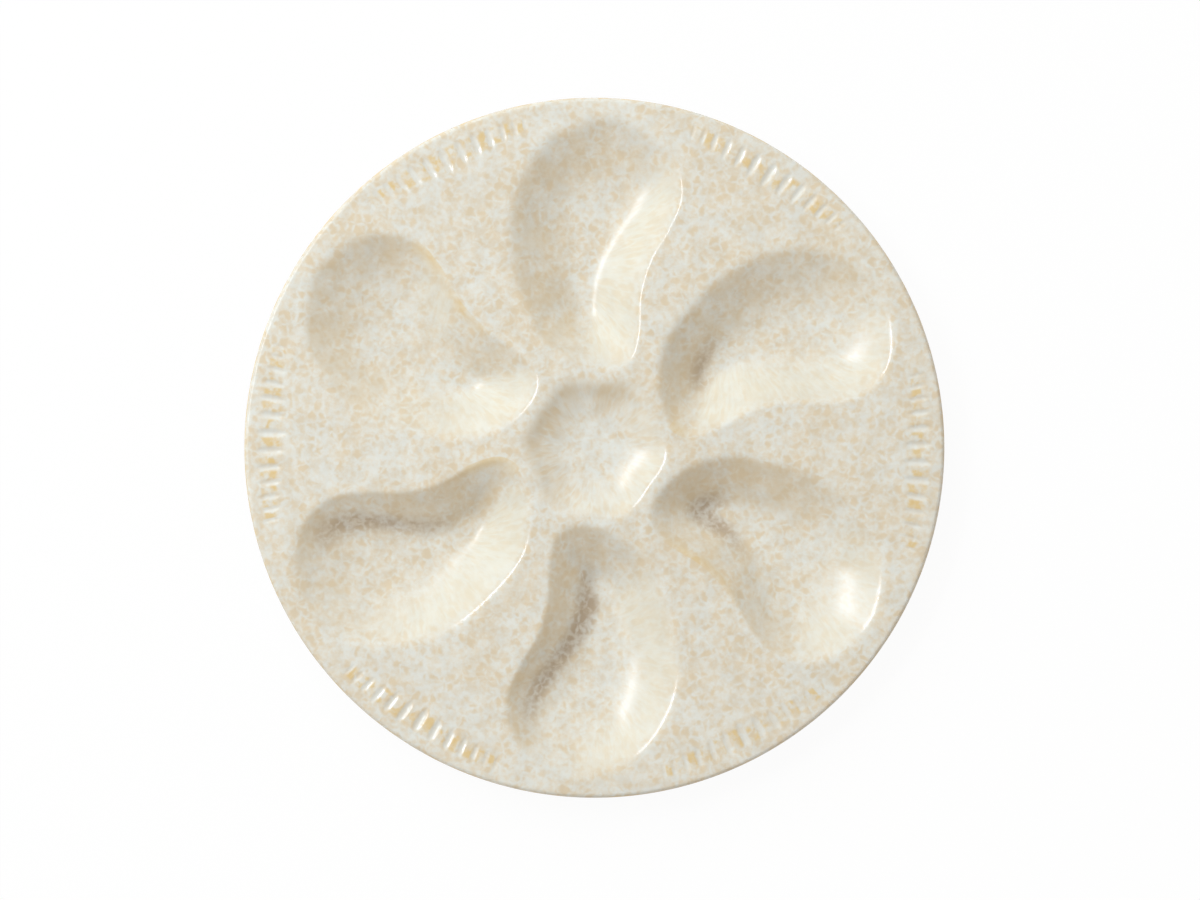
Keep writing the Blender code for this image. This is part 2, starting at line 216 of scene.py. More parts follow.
# Bare clay
CLAY_SCALE = 1500
CLAY_GRAIN = (0.35, 0.65)
CLAY_DARK = 0.75
CLAY_ROUGHNESS = 0.85
CLAY_RELIEF = 0.0003
CLAY_RELIEF_STRENGTH = 0.4

# Side of the table, its colour, and the share of pure white that the camera sees on it
TABLE_SIDE = 6
TABLE_WHITE = (0.9, 0.9, 0.9)
TABLE_GLOW = 0.95

# Shift of the camera from the platter's axis, and the nearest and farthest that it sees
CAMERA_SHIFT = (0.0020, -0.0008)
CAMERA_CLIP = (0.01, 10)

# Directions of the lamps, as azimuth and elevation in degrees
KEY_DIRECTION = (128, 45)
STRIP_DIRECTION = (158, 58)


def size(label, description, default):
    """Property for a length."""
    return FloatProperty(
        name=label, description=description, default=default, unit="LENGTH", precision=4
    )


def share(label, description, default):
    """Property for a share from 0 to 1."""
    return FloatProperty(
        name=label, description=description, default=default, min=0, max=1, subtype="FACTOR"
    )


def colour(label, description, default):
    """Property for a colour."""
    return FloatVectorProperty(
        name=label, description=description, default=default, min=0, max=1, size=3, subtype="COLOR"
    )


class PlatterShape(bpy.types.PropertyGroup):
    """Sizes of the platter."""

    rim_radius: size("Rim radius", "From the centre to the outermost edge", 0.125)
    edge_round: size("Edge rounding", "Width and drop of the rim's rounded edge", 0.0016)
    deck_height: size("Deck height", "Height of the deck between the wells above the table", 0.0185)
    wall: size("Wall", "Thickness of the platter with its glaze", 0.0060)
    glaze: size("Glaze", "Thickness of a coat of glaze", 0.0006)
    gap: size("Gap", "Gap between a coat of glaze and the clay", 0.0003)
    seam: size("Seam", "Gap between the coats of glaze where they meet round the rim", 0.00005)
    crest_radius: size("Crest radius", "Radius of the crest round the sauce well", 0.0266)
    crest_rise: size("Crest rise", "Height of the crest above the deck", 0.0018)
    crest_spread: size("Crest spread", "Distance over which the crest falls to half its rise", 0.0210)
    sauce_depth: size("Sauce depth", "Depth of the sauce well below its crest", 0.0055)
    sauce_floor: size("Sauce floor", "Radius of the sauce well's flat floor", 0.0050)
    sauce_wave: size("Sauce wave", "By how much the sauce well's crest yields to the wells", 0.0011)
    sauce_crisp: share(
        "Crisp sauce lip", "Share of the sauce wall facing the flame over which its slope sets in", 0.15
    )
    sauce_soft: share(
        "Soft sauce lip", "Share of the sauce wall across from that over which its slope sets in", 0.22
    )
    well_inner: size("Well start", "Distance of the wells from the centre", 0.0261)
    well_length: size("Well length", "Length of a well along the radius", 0.0939)
    well_width: size("Well width", "Width of a well across the radius", 0.0654)
    well_depth: size("Well depth", "Depth of a well below the deck", 0.0095)
    floor_rise: size("Floor rise", "Rise of a well's floor towards the rim", 0.0009)
    flute_depth: size("Flute depth", "Depth of the flutes along the rim", 0.00055)
    flute_length: size("Flute length", "Length of the middle flute of a group", 0.0128)
    flute_shortening: size(
        "Flute shortening", "By how much each flute is shorter than the one before", 0.0009
    )
    flute_margin: size("Flute margin", "Distance of the flutes from the rim's edge", 0.0034)
    foot_radius: size("Foot radius", "Radius of the middle of the foot ring", 0.0660)
    foot_top: size("Foot top width", "Width of the foot ring where it joins the back", 0.0070)
    foot_face: size("Foot face width", "Width of the foot ring on the table", 0.0044)
    foot_bevel: size("Foot bevel", "Rounding of the foot ring's edges", 0.0008)


class PlatterFinish(bpy.types.PropertyGroup):
    """Colours and gloss of the platter."""

    # Cream is the glaze of the back, and also painted light on the walls that face the lamps
    cream: colour(
        "Cream", "Glaze on the walls that look towards the flame, and on the back", (0.735, 0.705, 0.585)
    )
    vein: colour("Vein", "Pale grey network in the glaze", (0.743, 0.750, 0.710))
    tan: colour("Tan", "Spots in the glaze", (0.70, 0.594, 0.438))
    amber: colour("Amber", "Glaze broken over sharp edges", (0.72, 0.52, 0.22))
    # This tan is painted shade on the steep walls that face away from the lamps
    painted_shade_tint: colour("Shaded", "Glaze on the walls that look away from the flame", (0.69, 0.56, 0.37))
    # This brown is painted shade near the foot of walls that face away from the lamps
    brown: colour("Brown", "Glaze shaded towards the foot of walls", (0.36, 0.27, 0.20))
    clay: colour("Clay", "Fired clay", (0.52, 0.40, 0.29))
    foot: colour("Foot clay", "Bare clay of the foot ring", (0.58, 0.46, 0.34))
    gloss: share("Roughness", "Roughness of the glaze", 0.25)
    thin_gloss: share(
        "Thin roughness", "Roughness of the glaze where it runs thin over lips and flutes", 0.17
    )


class PlatterLight(bpy.types.PropertyGroup):
    """Light and view of the stage."""

    key_level: share("Key level", "Light that the key lamp throws on the table", 0.61)
    strip_level: share("Strip level", "Light that the strip lamp throws on the table", 0.205)
    room_level: share("Room level", "Light that comes from all sides", 0.44)
    key_tint: colour("Key tint", "Colour of the key lamp", (0.885, 0.955, 0.985))
    strip_tint: colour("Strip tint", "Colour of the strip lamp", (0.82, 0.88, 1.0))
    room_tint: colour("Room tint", "Colour of the light from all sides", (1.0, 0.91, 0.78))
    lamp_distance: size("Lamp distance", "Distance of the lamps", 2.4)
    key_size: size("Key size", "Side of the key lamp", 2.2)
    strip_length: size("Strip length", "Length of the strip lamp", 1.0)
    strip_width: size("Strip width", "Width of the strip lamp", 0.18)
    camera_height: size("Camera height", "Height of the camera over the table", 1.5)
    view_width: size("View width", "Width of the view at the rim", 0.42857)


def turned(plan, angle):
    """Plan points turned anticlockwise about the centre, by degrees."""
    c = math.cos(math.radians(angle))
    s = math.sin(math.radians(angle))
    return np.asarray(plan) @ np.array(((c, s), (-s, c)))


def closed_curve(control, steps):
    """Smooth closed curve through the control points, with steps points to a span."""
    before, after, beyond = (np.roll(control, shift, axis=0) for shift in (1, -1, -2))
    spans = []
    for t in np.arange(steps) / steps:
        spans.append(
            control
            + t / 2 * (after - before)
            + t ** 2 / 2 * (2 * before - 5 * control + 4 * after - beyond)
            + t ** 3 / 2 * (3 * control - before - 3 * after + beyond)
        )
    return np.stack(spans, axis=1).reshape(-1, control.shape[1])


def wall_fall(shares, lip_ease, foot_ease, growth):
    """Fall at shares of a wall's width, from 0 at its lip to 1 at its foot.

    The fall has a row to a share and a column to a rib.
    """
    t = np.linspace(0, 1, FALL_STEPS + 1)[:, None]
    slope = np.clip(t / lip_ease, 0, 1) * np.clip((1 - t) / foot_ease, 0, 1)
    slope = slope * (1 + growth * (t - 0.5))
    fall = np.cumsum(slope[1:] + slope[:-1], axis=0)
    fall = np.vstack((np.zeros_like(fall[:1]), fall / fall[-1]))
    return np.column_stack([np.interp(shares, t[:, 0], rib) for rib in fall.T])


def points_of(piece):
    """Vertex places of a piece."""
    points = np.empty(len(piece.data.vertices) * 3)
    piece.data.vertices.foreach_get("co", points)
    return points.reshape(-1, 3)


def move_points(piece, points):
    """Put the vertices of a piece in new places."""
    piece.data.vertices.foreach_set("co", np.ascontiguousarray(points, float).ravel())
    piece.data.update()


def read_mark(piece, name):
    """Number that each vertex carries under a name."""
    values = np.empty(len(piece.data.vertices))
    piece.data.attributes[name].data.foreach_get("value", values)
    return values


def mark(piece, name, values):
    """Give each vertex a number under a name."""
    layer = piece.data.attributes.get(name) or piece.data.attributes.new(name, "FLOAT", "POINT")
    layer.data.foreach_set("value", np.broadcast_to(values, len(piece.data.vertices)).astype(float))


def read_place(piece, name):
    """Place in a pattern that each vertex carries under a name."""
    places = np.empty(len(piece.data.vertices) * 3)
    piece.data.attributes[name].data.foreach_get("vector", places)
    return places.reshape(-1, 3)


def mark_place(piece, name, places):
    """Give each vertex a place in a pattern under a name."""
    layer = piece.data.attributes.get(name) or piece.data.attributes.new(name, "FLOAT_VECTOR", "POINT")
    layer.data.foreach_set("vector", np.ascontiguousarray(places, float).ravel())


def take_up(pieces):
    """Select these pieces alone, the first of them active."""
    bpy.ops.object.select_all(action="DESELECT")
    for piece in pieces:
        piece.select_set(True)
    bpy.context.view_layer.objects.active = pieces[0]


def spun(name, profile, segments):
    """New piece turned about the platter's axis from a profile of (radius, height) points."""
    bpy.ops.object.select_all(action="DESELECT")
    bpy.ops.mesh.primitive_circle_add(vertices=3, radius=1)
    piece = bpy.context.object
    piece.name = name
    piece.data.name = name
    bpy.ops.object.mode_set(mode="EDIT")
    bpy.ops.mesh.select_mode(type="VERT")
    bpy.ops.mesh.select_all(action="SELECT")
    bpy.ops.mesh.merge(type="CENTER")
    radius, height = profile[0]
    bpy.ops.transform.translate(value=(radius, 0, height))
    for (r0, z0), (r1, z1) in zip(profile, profile[1:]):
        bpy.ops.mesh.extrude_vertices_move(TRANSFORM_OT_translate={"value": (r1 - r0, 0, z1 - z0)})
    bpy.ops.mesh.select_all(action="SELECT")
    bpy.ops.mesh.spin(steps=segments, angle=2 * math.pi, center=(0, 0, 0), axis=(0, 0, 1))
    bpy.ops.mesh.select_all(action="SELECT")
    bpy.ops.mesh.remove_doubles(threshold=MERGE_DISTANCE)
    bpy.ops.object.mode_set(mode="OBJECT")
    return piece


def joined(pieces):
    """One piece made of several."""
    take_up(pieces)
    bpy.ops.object.join()
    return pieces[0]


def select_edges(piece, chosen):
    """Select the edges of the mesh being edited that pass a test."""
    bm = bmesh.from_edit_mesh(piece.data)
    for face in bm.faces:
        face.select_set(False)
    count = 0
    for edge in bm.edges:
        wanted = chosen(bm, edge)
        edge.select_set(wanted)
        count += wanted
    bm.select_flush_mode()
    bmesh.update_edit_mesh(piece.data)
    return count


def mark_filled(piece):
    """Note which faces of the mesh being edited are selected, as those of a filling."""
    bm = bmesh.from_edit_mesh(piece.data)
    filled = bm.faces.layers.int.new("filled")
    for face in bm.faces:
        face[filled] = int(face.select)


def select_filled(piece):
    """Select the faces of the filling."""
    bm = bmesh.from_edit_mesh(piece.data)
    filled = bm.faces.layers.int["filled"]
    for face in bm.faces:
        face.select_set(bool(face[filled]))
    bmesh.update_edit_mesh(piece.data)


def fill_between(piece, chosen, step):
    """Fill between the chosen border edges with triangles, and split their sides down to a step."""

    def is_long(bm, edge):
        filled = bm.faces.layers.int["filled"]
        faces = edge.link_faces
        inside = len(faces) == 2 and all(face[filled] for face in faces)
        return inside and edge.calc_length() > step

    take_up([piece])
    bpy.ops.object.mode_set(mode="EDIT")
    bpy.ops.mesh.select_mode(type="EDGE")
    select_edges(piece, lambda bm, edge: edge.is_boundary and chosen(bm, edge))
    bpy.ops.mesh.fill(use_beauty=True)
    mark_filled(piece)
    for _ in range(REFINE_ROUNDS):
        if not select_edges(piece, is_long):
            break
        bpy.ops.mesh.subdivide(number_cuts=1)
        select_filled(piece)
        bpy.ops.mesh.quads_convert_to_tris()
        bpy.ops.mesh.beautify_fill(angle_limit=math.pi)
    bpy.ops.object.mode_set(mode="OBJECT")
    piece.data.attributes.remove(piece.data.attributes["filled"])


def well_points(shape, shares):
    """Plan points of the first well from (along, across) shares."""
    along, across = shares.T
    return np.column_stack((across * shape.well_width, shape.well_inner + along * shape.well_length))


def well_sheet(shape):
    """Flat plan of the first well: rings that lead from its lip to its floor, and the floor."""
    ribs = closed_curve(np.array(WELL_RIBS), RIB_STEPS)
    lip = well_points(shape, ribs[:, 0:2])
    foot = well_points(shape, ribs[:, 2:4])
    falls = wall_fall(WALL_RINGS, *ribs[:, 4:7].T)

    sheet = spun("well", [(SHEET_RADIUS - ring, 0) for ring in WALL_RINGS], len(lip))
    x, y, _ = points_of(sheet).T
    number = np.round(np.arctan2(y, x) / (2 * math.pi) * len(lip)).astype(int) % len(lip)
    down = SHEET_RADIUS - np.hypot(x, y)
    plan = lip[number] + down[:, None] * (foot - lip)[number]
    move_points(sheet, np.column_stack((plan, np.zeros(len(plan)))))

    length = np.linalg.norm(foot - lip, axis=1)[number]
    girth = np.linalg.norm(np.roll(lip, -1, axis=0) - lip, axis=1)
    turn = 2 * math.pi * np.cumsum(girth)[number] / girth.sum()
    radius = girth.sum() / (2 * math.pi)
    run = np.column_stack((radius * np.cos(turn), radius * np.sin(turn), STREAK_STRETCH * down * length))
    ring = np.abs(down[:, None] - WALL_RINGS).argmin(1)
    mark(sheet, "down", down)
    mark(sheet, "fall", falls[ring, number])
    mark(sheet, "slant", np.arctan2(*(foot - lip).T[::-1])[number])
    mark(sheet, "ease", down - 1 + ribs[number, 5])
    # Weight of each rib's brown painted shade at the foot of its wall
    mark(sheet, "painted_shade_pool", ribs[number, 7])
    mark_place(sheet, "run", run)

    def on_floor(bm, edge):
        layer = bm.verts.layers.float["down"]
        return all(vert[layer] > 1 - NEAR for vert in edge.verts)

    fill_between(sheet, on_floor, DECK_STEP)
    return sheet


def flute_sheet(shape):
    """Flat plan of one group of flutes: a band along the rim, with columns along every ridge."""
    count = 2 * FLUTES_PER_SIDE + 1
    bpy.ops.object.select_all(action="DESELECT")
    bpy.ops.mesh.primitive_grid_add(
        x_subdivisions=count * FLUTE_COLUMNS, y_subdivisions=FLUTE_ROWS, size=1
    )
    sheet = bpy.context.object
    sheet.name = "flutes"
    x, y, _ = points_of(sheet).T
    step = x * count
    inwards = 0.5 - y
    outer = shape.rim_radius - shape.flute_margin
    inner = outer - shape.flute_length + shape.flute_shortening * np.abs(step)
    radius = outer + inwards * (inner - outer)
    angle = np.radians(FLUTE_GROUP_ANGLE + FLUTE_PITCH * step - FLUTE_CLOSING * step * np.abs(step))
    move_points(sheet, np.column_stack((-radius * np.sin(angle), radius * np.cos(angle), 0 * x)))

    from_inside = np.clip((1 - inwards) / FLUTE_INNER_END, 0, 1)
    from_outside = np.clip(inwards / FLUTE_OUTER_END, 0, 1)
    along = np.sin(math.pi / 2 * from_inside) ** 2 * np.sin(math.pi / 2 * from_outside) ** 2
    sides = np.clip(count / 2 - np.abs(step), 0, 0.5) * 2
    width = FLUTE_FILL * np.sqrt(np.maximum(along, NEAR))
    across = np.clip(2 * (step - np.round(step)) / width, -1, 1)
    strength = along * sides * (1 - FLUTE_FADING * np.abs(step) / (count / 2))
    mark(sheet, "groove", strength * (1 + np.cos(math.pi * across)) / 2)
    mark(sheet, "ridge", along * sides * across ** 2)
    return sheet


def face_plan(shape):
    """Flat plan of the whole face, with the deck filled in between its parts."""
    sector = joined([well_sheet(shape), flute_sheet(shape)])
    take_up([sector])
    bpy.ops.object.mode_set(mode="EDIT")
    bpy.ops.mesh.select_all(action="SELECT")
    sixth = 2 * math.pi / WELL_COUNT
    bpy.ops.mesh.spin(
        steps=WELL_COUNT - 1,
        angle=sixth * (WELL_COUNT - 1),
        dupli=True,
        center=(0, 0, 0),
        axis=(0, 0, 1),
    )
    bpy.ops.object.mode_set(mode="OBJECT")

    radii = [shape.crest_radius * (1 - k / SAUCE_RINGS) for k in range(SAUCE_RINGS + 1)]
    sauce = spun("sauce", [(radius, 0) for radius in radii], SAUCE_SEGMENTS)
    points = points_of(sauce)
    move_points(sauce, points * (sauce_lip(shape, points) / shape.crest_radius)[:, None])
    radii = [shape.rim_radius - shape.edge_round * (1 - lean) for lean in EDGE_LEANS]
    rim = spun("rim", [(radius, 0) for radius in radii], RIM_SEGMENTS)
    plan = joined([sector, sauce, rim])

    def round_deck(bm, edge):
        return all(vert.co.xy.length < shape.rim_radius - NEAR for vert in edge.verts)

    fill_between(plan, round_deck, DECK_STEP)
    return plan


def well_number(plan):
    """Number of the well in whose sixth of the platter each point lies, counted anticlockwise."""
    x, y = plan.T
    return np.round(np.degrees(np.arctan2(-x, y)) * WELL_COUNT / 360)


def sauce_lip(shape, points):
    """Radius of the sauce well's lip in the direction of each point."""
    angle = np.arctan2(points[:, 1], points[:, 0]) - math.radians(SAUCE_WAVE_ANGLE)
    return shape.crest_radius - shape.sauce_wave * np.cos(WELL_COUNT * angle)


def sauce_share(shape, plan):
    """How far down the sauce well's wall each point lies, from 0 at its lip to 1 on its floor."""
    lip = sauce_lip(shape, plan)
    return np.clip((lip - np.hypot(*plan.T)) / (lip - shape.sauce_floor), 0, 1)


def edge_level(shape, radius):
    """Lean of the rim's rounding at a radius, and how level the surface still is there."""
    lean = np.clip((radius - shape.rim_radius + shape.edge_round) / shape.edge_round, 0, 1)
    return lean, np.sqrt(1 - lean ** 2)


def press(shape, face):
    """Press the flat plan of the face into its relief."""
    plan = points_of(face)[:, :2]
    radius = np.hypot(*plan.T)
    number = well_number(plan)
    local = np.empty_like(plan)
    for turn in np.unique(number):
        own = number == turn
        local[own] = turned(plan[own], -turn * 360 / WELL_COUNT)
    along = (local[:, 1] - shape.well_inner) / shape.well_length
    rise = np.clip((along - FLOOR_LOWEST) / (FLOOR_HIGHEST - FLOOR_LOWEST), 0, 1)
    floor = shape.deck_height - shape.well_depth + shape.floor_rise * rise

    outside = (np.maximum(radius, sauce_lip(shape, plan)) - shape.crest_radius) / shape.crest_spread
    height = shape.deck_height + shape.crest_rise / (1 + outside ** 2)
    height += read_mark(face, "fall") * (floor - height)

    lips = np.array((shape.sauce_crisp, shape.sauce_soft))
    crisp, soft = wall_fall(sauce_share(shape, plan), lips, 1 - lips, np.zeros(2)).T
    angle = np.arctan2(plan[:, 1], plan[:, 0])
    softness = np.clip(0.5 + np.cos(angle - math.radians(LAMPLIGHT_SIDE)), 0, 1)
    height -= shape.sauce_depth * (crisp + softness * (soft - crisp))

    _, level = edge_level(shape, radius)
    height -= shape.edge_round * (1 - level) + shape.flute_depth * read_mark(face, "groove")
    move_points(face, np.column_stack((plan, height)))


def mark_glaze(shape, face):
    """Note on the pressed face what its glaze depends on."""
    plan = points_of(face)[:, :2]
    angle = np.arctan2(plan[:, 1], plan[:, 0])
    radius = np.hypot(*plan.T)
    number = well_number(plan)
    sauce_down = sauce_share(shape, plan)
    is_sauce = sauce_down > 0
    down = read_mark(face, "down")
    lean, _ = edge_level(shape, radius)
    mark(face, "down", np.where(is_sauce, sauce_down, down))
    mark(face, "sauce", sauce_down)
    mark(face, "edge", lean)

    turn = np.column_stack((np.cos(angle), np.sin(angle))) * shape.crest_radius
    sauce_run = np.column_stack((turn, STREAK_STRETCH * radius))
    run = np.where(is_sauce[:, None], sauce_run, read_place(face, "run"))
    run[:, 2] += STREAK_SHIFT * np.where(is_sauce, WELL_COUNT, number)
    mark_place(face, "run", run)

    # The sheets may still face down here, so a normal's parts are only set against each other
    normals = np.empty(len(plan) * 3)
    face.data.vertices.foreach_get("normal", normals)
    nx, ny, nz = normals.reshape(-1, 3).T
    # How much each wall looks towards the lamps: it sets the painted light and painted shade on the
    # walls
    lamplight = math.radians(LAMPLIGHT_SIDE)
    facing = (nx * math.cos(lamplight) + ny * math.sin(lamplight)) / nz
    on_wall = is_sauce | (down > 0)
    mark(face, "facing", np.where(on_wall, facing, 0))
    mark(face, "steep", np.where(on_wall, np.hypot(nx, ny) / np.abs(nz), 0))

    slant = read_mark(face, "slant") + np.radians(number * 360 / WELL_COUNT)
    painted_shade_pool = read_mark(face, "painted_shade_pool")
    broken = np.clip(1 - np.abs(np.cos(slant - lamplight) - BREAK_SIDE) / BREAK_SPREAD, 0, 1)
    mark(face, "broken", broken * (painted_shade_pool > BREAK_SHADE_POOL))
    # Brown painted shade: kept to walls that look away from the lamps, near where their slope eases off
    painted_shade_pool *= np.clip(-np.cos(slant - math.radians(SHADE_POOL_LAMP_SIDE)), 0, 1)
    painted_shade_pool *= np.clip(1 - np.abs(read_mark(face, "ease") - SHADE_POOL_PLACE) / SHADE_POOL_REACH, 0, 1)
    mark(face, "painted_shade_pool", np.where((down > 0) & (down < 1 - NEAR), painted_shade_pool, 0))


def upright(piece, upwards):
    """Merge doubles and turn the faces of an open sheet all up or all down."""
    take_up([piece])
    bpy.ops.object.mode_set(mode="EDIT")
    bpy.ops.mesh.select_all(action="SELECT")
    bpy.ops.mesh.remove_doubles(threshold=MERGE_DISTANCE)
    bpy.ops.mesh.normals_make_consistent(inside=False)
    bm = bmesh.from_edit_mesh(piece.data)
    if (sum(face.normal.z for face in bm.faces) > 0) != upwards:
        bpy.ops.mesh.flip_normals()
    bpy.ops.object.mode_set(mode="OBJECT")


def height_finder(shape, face):
    """Function that gives the height of the face, with its flutes filled, over points of the plan."""
    points = points_of(face)
    points[:, 2] += shape.flute_depth * read_mark(face, "groove")
    corners = [tuple(polygon.vertices) for polygon in face.data.polygons]
    tree = BVHTree.FromPolygons(points.tolist(), corners)
    limit = shape.rim_radius - shape.edge_round

    def height(plan):
        radius = np.maximum(np.hypot(*plan.T), MERGE_DISTANCE)
        kept = plan * np.minimum(1, limit / radius)[:, None]
        hits = [tree.ray_cast(Vector((px, py, 1)), Vector((0, 0, -1)))[0] for px, py in kept]
        return np.array([hit.z for hit in hits])

    return height


def rings(first, last, step):
    """Radii from first to last, about a step apart."""
    count = max(1, round(abs(last - first) / step))
    return [first + (last - first) * k / count for k in range(count + 1)]


def close_underneath(shape, face, height):
    """Give the face its underside, a coat of glaze below its flutes, and join both round the rim."""
    radii = rings(0, shape.rim_radius - shape.edge_round, UNDER_STEP)
    radii += [shape.rim_radius - shape.edge_round * (1 - lean) for lean in EDGE_LEANS[1:]]
    under = spun("under", [(radius, 0) for radius in radii], RIM_SEGMENTS)
    plan = points_of(under)[:, :2]
    radius = np.maximum(np.hypot(*plan.T), MERGE_DISTANCE)
    lean, level = edge_level(shape, radius)
    depth = shape.glaze + shape.flute_depth * (lean == 0)
    z = height(plan) - shape.edge_round * (1 - level) - depth * level
    move_points(under, np.column_stack((plan * (1 - shape.glaze * lean / radius)[:, None], z)))
    upright(under, False)
    joined([face, under])
    bpy.ops.object.mode_set(mode="EDIT")
    select_edges(face, lambda bm, edge: edge.is_boundary)
    bpy.ops.mesh.bridge_edge_loops()
    bpy.ops.object.mode_set(mode="OBJECT")


def back_height(shape, height, plan):
    """Height of the finished back over points of the plan."""
    _, level = edge_level(shape, np.hypot(*plan.T))
    return height(plan) - shape.wall + (shape.wall - shape.edge_round - shape.seam) * (1 - level)


def finish_piece(piece, name, node, material):
    """Name a piece, smooth it, dress it and let it stand for its CAD node."""
    piece.name = name
    piece.data.name = name
    piece.data.materials.clear()
    piece.data.materials.append(material)
    take_up([piece])
    bpy.ops.object.shade_smooth_by_angle(angle=math.radians(SMOOTH_ANGLE))
    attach(piece, BODY)
    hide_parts(node)


class Finish:
    """Shader nodes of one finish."""

    def __init__(self, name):
        self.material = bpy.data.materials.new(name)
        self.material.use_nodes = True
        self.tree = self.material.node_tree
        self.shader = self.tree.nodes["Principled BSDF"]
        self.place = self.add("ShaderNodeTexCoord", {}).outputs["Object"]

    def feed(self, socket, value):
        """Link a socket to another one, or set it to a value."""
        if isinstance(value, bpy.types.NodeSocket):
            self.tree.links.new(value, socket)
        else:
            socket.default_value = value

    def add(self, kind, inputs, **settings):
        """New node with its settings and inputs."""
        node = self.tree.nodes.new(kind)
        for name, value in settings.items():
            setattr(node, name, value)
        for name, value in inputs.items():
            self.feed(node.inputs[name], value)
        return node

    def carried(self, name, output):
        """What the vertices carry under a name."""
        return self.add("ShaderNodeAttribute", {}, attribute_name=name).outputs[output]

    def sum(self, operation, *values):
        """Result of one operation on numbers."""
        inputs = dict(enumerate(values))
        return self.add("ShaderNodeMath", inputs, operation=operation).outputs[0]

    def times(self, first, second):
        """Product of two numbers."""
        return self.sum("MULTIPLY", first, second)

    def moved(self, place, by, amount):
        """A place shifted by a colour, up to half the amount each way."""
        centred = self.add("ShaderNodeVectorMath", {0: by, 1: (0.5, 0.5, 0.5)}, operation="SUBTRACT")
        scaled = self.add(
            "ShaderNodeVectorMath", {0: centred.outputs[0], "Scale": amount}, operation="SCALE"
        )
        return self.add("ShaderNodeVectorMath", {0: place, 1: scaled.outputs[0]}).outputs[0]

    def noise(self, place, scale, detail=3, output="Fac"):
        """Soft noise."""
        inputs = {"Vector": place, "Scale": scale, "Detail": detail}
        return self.add("ShaderNodeTexNoise", inputs).outputs[output]

    def cells(self, place, scale, feature="F1"):
        """Cells, by the distance from their middles or their borders."""
        return self.add("ShaderNodeTexVoronoi", {"Vector": place, "Scale": scale}, feature=feature)

    def band(self, value, low, high, bottom=0.0, top=1.0):
        """Smooth step of a value from low to high."""
        inputs = {"Value": value, 1: low, 2: high, 3: bottom, 4: top}
        return self.add("ShaderNodeMapRange", inputs, interpolation_type="SMOOTHSTEP").outputs[0]

    def mix(self, amount, first, second):
        """Mix of two colours."""
        node = self.add("ShaderNodeMix", {0: amount}, data_type="RGBA")
        self.feed(node.inputs[6], first)
        self.feed(node.inputs[7], second)
        return node.outputs[2]

    def bump(self, height, distance, strength):
        """Relief too fine for the mesh."""
        node = self.add("ShaderNodeBump", {"Height": height, "Distance": distance, "Strength": strength})
        self.feed(self.shader.inputs["Normal"], node.outputs[0])


def solid(value):
    """A colour for a socket."""
    return (*value, 1)


def mottling(glaze, place):
    """How tan the glaze is at a place: low in the pale network, high in the middle of a spot."""
    stirring = glaze.noise(place, STIR_SCALE, detail=2, output="Color")
    stirred = glaze.moved(place, stirring, STIR_REACH)
    cells = glaze.cells(stirred, SPOT_SCALE)
    border = glaze.cells(stirred, SPOT_SCALE, "DISTANCE_TO_EDGE").outputs["Distance"]
    chance = glaze.add("ShaderNodeSeparateColor", {0: cells.outputs["Color"]}).outputs
    spot = glaze.times(glaze.band(border, *SPOT_BORDER), glaze.band(chance[0], *SPOT_CHANCE))
    hollow = glaze.band(cells.outputs["Distance"], *HOLLOW_MIDDLE)
    hollow = glaze.times(hollow, glaze.band(chance[1], *HOLLOW_CHANCE))
    level = glaze.sum("SUBTRACT", spot, hollow)
    level = glaze.sum("ADD", level, glaze.band(glaze.noise(place, GRAIN_SCALE), *GRAIN_LEVEL))
    drift = glaze.band(glaze.noise(place, DRIFT_SCALE, detail=4), *DRIFT_LEVEL)
    return glaze.sum("ADD", level, drift)


